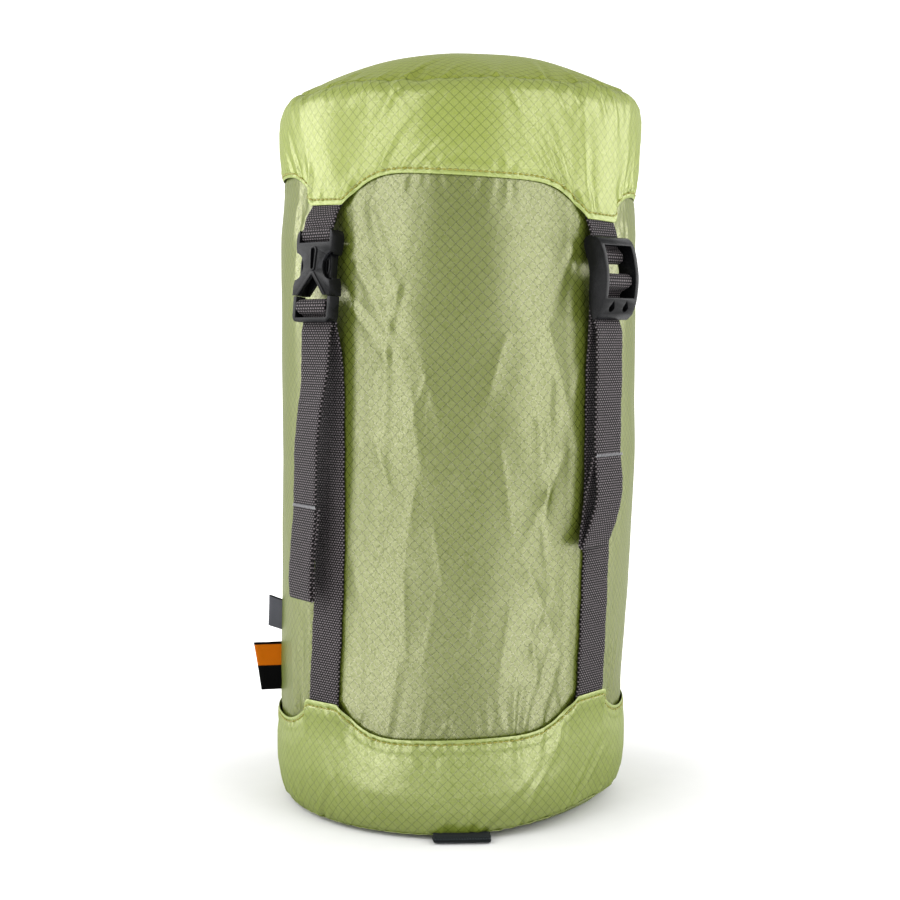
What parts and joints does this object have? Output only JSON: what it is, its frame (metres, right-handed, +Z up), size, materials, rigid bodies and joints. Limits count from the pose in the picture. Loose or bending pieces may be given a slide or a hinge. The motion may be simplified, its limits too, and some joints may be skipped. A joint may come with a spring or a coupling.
{
  "type": "compression stuff sack",
  "caption": "Upright cylindrical ripstop compression sack with a domed strapped lid, side-release and ladder-lock buckles, hanging webbing tails and a drawn-in throat.",
  "frame": {"origin": "centre of the flat base, on the surface it stands on", "axes": "+Z up along the sack, -Y towards the front, between the two front straps"},
  "size_m": [0.197, 0.1858, 0.3805],
  "materials": {
    "cap_cloth": "yellow-green ripstop nylon, slight sheen",
    "body_cloth": "paler grey-green ripstop nylon, slight sheen",
    "webbing": "dark grey woven webbing",
    "plastic": "black acetal, satin",
    "grey_tag": "woven tape",
    "orange_tag": "woven tape, orange and black",
    "dark_tab": "black webbing"
  },
  "bodies": {
    "base": {"body_tube": "body_cloth", "side_seam_tape": "body_cloth", "bottom_cap": "cap_cloth", "bottom_disc": "cap_cloth", "base_tab": "dark_tab", "lower_strap_front_left": "webbing", "lower_strap_front_right": "webbing", "lower_strap_back_right": "webbing", "lower_strap_back_left": "webbing"},
    "lid": {"top_cap": "cap_cloth", "top_disc": "cap_cloth", "upper_strap_front_left": "webbing", "clip_female_front_left": "plastic", "upper_strap_front_right": "webbing", "upper_strap_back_right": "webbing", "upper_strap_back_left": "webbing", "clip_female_back_left": "plastic"},
    "throat_ring": {"throat": "body_cloth", "throat_channel": "body_cloth", "cord_eyelet": "plastic"},
    "size_tag_flap": {"size_tag": "grey_tag"},
    "side_tag_flap": {"side_tag": "orange_tag"},
    "tail_front_left_end": {"tail_front_left": "webbing"},
    "clip_front_left": {"clip_male_front_left": "plastic", "bar_wrap_front_left": "webbing"},
    "prong_front_left_left_arm": {"prong_front_left_left": "plastic"},
    "prong_front_left_right_arm": {"prong_front_left_right": "plastic"},
    "tail_front_right_end": {"tail_front_right": "webbing"},
    "lock_front_right": {"ladder_lock_front_right": "plastic", "bar_loop_front_right": "webbing", "bar_wrap_front_right": "webbing"},
    "tail_back_right_end": {"tail_back_right": "webbing"},
    "lock_back_right": {"ladder_lock_back_right": "plastic", "bar_loop_back_right": "webbing", "bar_wrap_back_right": "webbing"},
    "tail_back_left_end": {"tail_back_left": "webbing"},
    "clip_back_left": {"clip_male_back_left": "plastic", "bar_wrap_back_left": "webbing"},
    "prong_back_left_left_arm": {"prong_back_left_left": "plastic"},
    "prong_back_left_right_arm": {"prong_back_left_right": "plastic"}
  },
  "joints": [
    {"name": "compression", "type": "slide", "parent": "base", "child": "lid", "axis": [0, 0, 1], "range_m": [-0.07, 0.04], "deforming": ["body_tube", "side_seam_tape", "lower_strap_front_left", "lower_strap_front_right", "lower_strap_back_right", "lower_strap_back_left"]},
    {"name": "throat_follow", "type": "slide", "parent": "base", "child": "throat_ring", "axis": [0, 0, 1], "range_m": [-0.07, 0.04]},
    {"name": "release_front_left", "type": "slide", "parent": "lid", "child": "clip_front_left", "axis": [0.0739, 0.0739, 0.9945], "range_m": [-0.024, 0]},
    {"name": "squeeze_front_left_left", "type": "hinge", "parent": "clip_front_left", "child": "prong_front_left_left_arm", "pos_m": [-0.07722, -0.06364, 0.25783], "axis": [0.7032, 0.7032, -0.1045], "range_deg": [0, 6], "stiffness_Nm_per_rad": 0.02},
    {"name": "squeeze_front_left_right", "type": "hinge", "parent": "clip_front_left", "child": "prong_front_left_right_arm", "pos_m": [-0.06364, -0.07722, 0.25783], "axis": [-0.7032, -0.7032, 0.1045], "range_deg": [0, 6], "stiffness_Nm_per_rad": 0.02},
    {"name": "tail_swing_front_left", "type": "hinge", "parent": "clip_front_left", "child": "tail_front_left_end", "pos_m": [-0.07044, -0.07044, 0.24478], "axis": [-0.7071, 0.7071, 0], "range_deg": [0, 60]},
    {"name": "tilt_front_right", "type": "hinge", "parent": "lid", "child": "lock_front_right", "pos_m": [0.06647, -0.06647, 0.2872], "axis": [-0.7071, -0.7071, 0], "range_deg": [0, 30]},
    {"name": "tail_swing_front_right", "type": "hinge", "parent": "lock_front_right", "child": "tail_front_right_end", "pos_m": [0.06841, -0.06841, 0.2464], "axis": [-0.7071, -0.7071, 0], "range_deg": [0, 60]},
    {"name": "tilt_back_right", "type": "hinge", "parent": "lid", "child": "lock_back_right", "pos_m": [0.06647, 0.06647, 0.2872], "axis": [0.7071, -0.7071, 0], "range_deg": [0, 30]},
    {"name": "tail_swing_back_right", "type": "hinge", "parent": "lock_back_right", "child": "tail_back_right_end", "pos_m": [0.06841, 0.06841, 0.2464], "axis": [0.7071, -0.7071, 0], "range_deg": [0, 60]},
    {"name": "release_back_left", "type": "slide", "parent": "lid", "child": "clip_back_left", "axis": [0.0739, -0.0739, 0.9945], "range_m": [-0.024, 0]},
    {"name": "squeeze_back_left_left", "type": "hinge", "parent": "clip_back_left", "child": "prong_back_left_left_arm", "pos_m": [-0.06364, 0.07722, 0.25783], "axis": [0.7032, -0.7032, -0.1045], "range_deg": [0, 6], "stiffness_Nm_per_rad": 0.02},
    {"name": "squeeze_back_left_right", "type": "hinge", "parent": "clip_back_left", "child": "prong_back_left_right_arm", "pos_m": [-0.07722, 0.06364, 0.25783], "axis": [-0.7032, 0.7032, 0.1045], "range_deg": [0, 6], "stiffness_Nm_per_rad": 0.02},
    {"name": "tail_swing_back_left", "type": "hinge", "parent": "clip_back_left", "child": "tail_back_left_end", "pos_m": [-0.07044, 0.07044, 0.24478], "axis": [0.7071, 0.7071, 0], "range_deg": [0, 60]},
    {"name": "size_tag_flap_hinge", "type": "hinge", "parent": "base", "child": "size_tag_flap", "pos_m": [-0.09, 0, 0.094], "axis": [0, 0, 1], "range_deg": [-40, 40]},
    {"name": "side_tag_flap_hinge", "type": "hinge", "parent": "base", "child": "side_tag_flap", "pos_m": [-0.09, 0, 0.066], "axis": [0, 0, 1], "range_deg": [-40, 40]}
  ],
  "couplings": [
    {"joint": "throat_follow", "follows": "compression", "ratio": 1},
    {"joint": "squeeze_front_left_right", "follows": "squeeze_front_left_left", "ratio": 1},
    {"joint": "squeeze_back_left_right", "follows": "squeeze_back_left_left", "ratio": 1}
  ]
}
